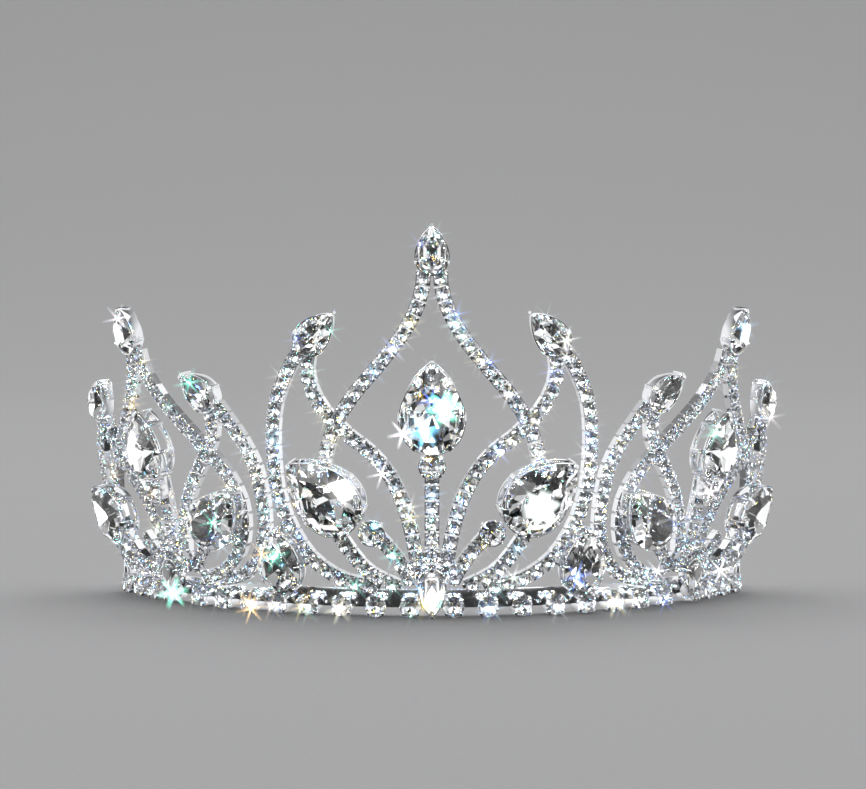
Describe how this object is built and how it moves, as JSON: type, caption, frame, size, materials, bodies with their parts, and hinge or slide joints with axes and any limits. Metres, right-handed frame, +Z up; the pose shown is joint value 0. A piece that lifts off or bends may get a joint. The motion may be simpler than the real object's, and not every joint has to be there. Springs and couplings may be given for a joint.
{
  "type": "rhinestone tiara",
  "caption": "Openwork tiara of stone-set strands in three fans, pear stones in claw settings, on a curved band with a row of round stones.",
  "frame": {"origin": "centre of the box's bottom, on the surface that the base cups stand on", "axes": "+Z up, -Y towards the front of the tiara, X across the wearer's head"},
  "size_m": [0.1432, 0.0664, 0.0765],
  "materials": {
    "silver_alloy": "bright silver plate, polished",
    "rhinestone": "clear cut glass, foiled at the back"
  },
  "bodies": {
    "root": {"base_band": "silver_alloy", "base_stones": "rhinestone", "centre_frame": "silver_alloy", "left_frame": "silver_alloy", "right_frame": "silver_alloy", "left_end_loop": "silver_alloy", "right_end_loop": "silver_alloy", "centre_apex_stone": "rhinestone", "centre_left_tip_stone": "rhinestone", "centre_right_tip_stone": "rhinestone", "centre_main_stone": "rhinestone", "centre_left_stone": "rhinestone", "centre_right_stone": "rhinestone", "centre_main_round": "rhinestone", "centre_left_round": "rhinestone", "centre_right_round": "rhinestone", "centre_drop_stone": "rhinestone", "left_column_stone": "rhinestone", "right_column_stone": "rhinestone", "left_apex_stone": "rhinestone", "left_inner_tip_stone": "rhinestone", "left_outer_tip_stone": "rhinestone", "left_main_stone": "rhinestone", "left_inner_stone": "rhinestone", "left_outer_stone": "rhinestone", "left_main_round": "rhinestone", "left_drop_stone": "rhinestone", "right_apex_stone": "rhinestone", "right_inner_tip_stone": "rhinestone", "right_outer_tip_stone": "rhinestone", "right_main_stone": "rhinestone", "right_inner_stone": "rhinestone", "right_outer_stone": "rhinestone", "right_main_round": "rhinestone", "right_drop_stone": "rhinestone"}
  },
  "joints": []
}
